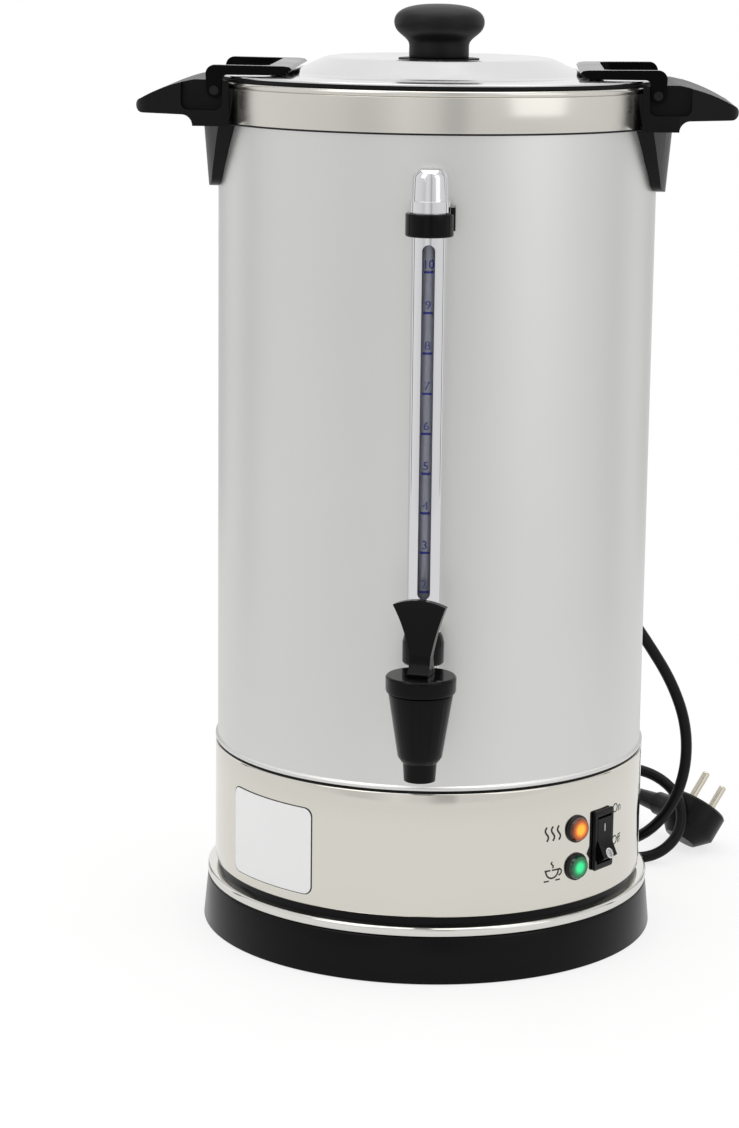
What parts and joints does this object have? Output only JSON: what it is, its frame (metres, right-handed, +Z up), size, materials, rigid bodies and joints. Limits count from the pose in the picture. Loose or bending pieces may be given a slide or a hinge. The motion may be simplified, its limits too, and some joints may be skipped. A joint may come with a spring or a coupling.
{
  "type": "percolator coffee urn",
  "caption": "Tall steel coffee urn with lid clamps, side handles, level gauge, pull tap, rocker switch, lamps, percolator insert and mains lead.",
  "frame": {"origin": "centre of the base's flat underside, on the table and on the tank's axis", "axes": "+Z up along the tank, -Y towards the tap and level gauge, X through the two handles"},
  "size_m": [0.3569, 0.4207, 0.5365],
  "materials": {
    "tank_steel": "satin stainless steel",
    "housing_steel": "mirror-polished stainless steel",
    "base_plastic": "semi-gloss moulded plastic",
    "trim_chrome": "chrome-plated hoop",
    "rim_steel": "fine brushed stainless steel",
    "lid_steel": "polished stainless steel",
    "insert_steel": "spun aluminium",
    "gauge_chrome": "chrome-plated brass",
    "nut_brass": "machined brass",
    "screw_steel": "zinc-plated steel",
    "plate_steel": "galvanised sheet",
    "handle_plastic": "fine-grained heat-proof plastic",
    "clamp_plastic": "polished moulded plastic",
    "tap_plastic": "semi-gloss nylon",
    "valve_steel": "turned stainless steel",
    "spring_steel": "spring wire",
    "silicone": "food-grade silicone",
    "gauge_glass": "clear borosilicate tube",
    "amber_lens": "translucent lens",
    "green_lens": "translucent lens",
    "switch_plastic": "moulded nylon",
    "rocker_plastic": "moulded black rocker",
    "element_metal": "heat-stained sheath",
    "thermostat_metal": "pressed aluminium",
    "terminal_ceramic": "glazed steatite",
    "cord_pvc": "flexible rubber sheath",
    "plug_plastic": "moulded plug",
    "pin_metal": "nickel-plated pins"
  },
  "bodies": {
    "urn": {"base_pillars": "plate_steel", "base_plate": "plate_steel", "base_ring": "base_plastic", "base_screws": "screw_steel", "clamp_pins": "screw_steel", "cord_coil": "cord_pvc", "cord_gland": "cord_pvc", "gauge_bracket": "tap_plastic", "gauge_cap": "gauge_chrome", "gauge_glass": "gauge_glass", "gauge_nut": "tap_plastic", "gauge_screw": "screw_steel", "gauge_seals": "silicone", "gauge_shield": "gauge_chrome", "handle_left": "handle_plastic", "handle_right": "handle_plastic", "handle_screws": "screw_steel", "heating_element": "element_metal", "housing_band": "housing_steel", "housing_seal": "silicone", "lamp_amber": "amber_lens", "lamp_clips": "screw_steel", "lamp_green": "green_lens", "plug_body": "plug_plastic", "plug_pins": "pin_metal", "power_cord": "cord_pvc", "rim_band": "rim_steel", "rocker_axle": "screw_steel", "switch_frame": "switch_plastic", "tank": "tank_steel", "tap_body": "tap_plastic", "tap_bonnet": "tap_plastic", "tap_nut": "nut_brass", "tap_shank": "gauge_chrome", "tap_washers": "silicone", "terminal_block": "terminal_ceramic", "thermostats": "thermostat_metal", "trim_ring": "trim_chrome", "valve_spring": "spring_steel", "well_heater": "element_metal"},
    "lid": {"lid": "lid_steel", "lid_gasket": "silicone", "knob_pad": "silicone", "knob": "handle_plastic", "knob_screw": "screw_steel"},
    "clamp_left": {"clamp_left": "clamp_plastic"},
    "clamp_right": {"clamp_right": "clamp_plastic"},
    "valve": {"valve_stem": "valve_steel", "valve_cup": "silicone", "tap_lever_pin": "screw_steel"},
    "lever": {"tap_lever": "tap_plastic"},
    "rocker": {"rocker": "rocker_plastic"},
    "insert": {"pump_tube": "insert_steel", "pump_base": "insert_steel", "basket": "insert_steel", "spreader": "insert_steel"}
  },
  "joints": [
    {"name": "lid_lift", "type": "slide", "parent": "urn", "child": "lid", "axis": [0, 0, 1], "range_m": [0, 0.023]},
    {"name": "clamp_right_swing", "type": "hinge", "parent": "urn", "child": "clamp_right", "pos_m": [0.122, 0, 0.4895], "axis": [0, 1, 0], "range_deg": [0, 115]},
    {"name": "clamp_left_swing", "type": "hinge", "parent": "urn", "child": "clamp_left", "pos_m": [-0.122, 0, 0.4895], "axis": [0, -1, 0], "range_deg": [0, 115]},
    {"name": "valve_lift", "type": "slide", "parent": "urn", "child": "valve", "axis": [0, 0, 1], "range_m": [0, 0.0038], "deforming": ["valve_spring"]},
    {"name": "tap_lever_pull", "type": "hinge", "parent": "valve", "child": "lever", "pos_m": [0, -0.175, 0.1922], "axis": [0.9703, -0.2419, 0], "range_deg": [0, 30], "stiffness_Nm_per_rad": 0.2, "springref_deg": -14.32},
    {"name": "rocker_tilt", "type": "hinge", "parent": "urn", "child": "rocker", "pos_m": [0.09928, -0.0732, 0.0702], "axis": [0.5934, 0.8049, 0], "range_deg": [0, 26]},
    {"name": "insert_lift", "type": "slide", "parent": "urn", "child": "insert", "axis": [0, 0, 1], "range_m": [0, 0.015]}
  ],
  "couplings": [
    {"joint": "clamp_right_swing", "follows": "lid_lift", "rad_per_m": 87.2},
    {"joint": "clamp_left_swing", "follows": "lid_lift", "rad_per_m": 87.2},
    {"joint": "valve_lift", "follows": "tap_lever_pull", "m_per_rad": 0.0071}
  ]
}
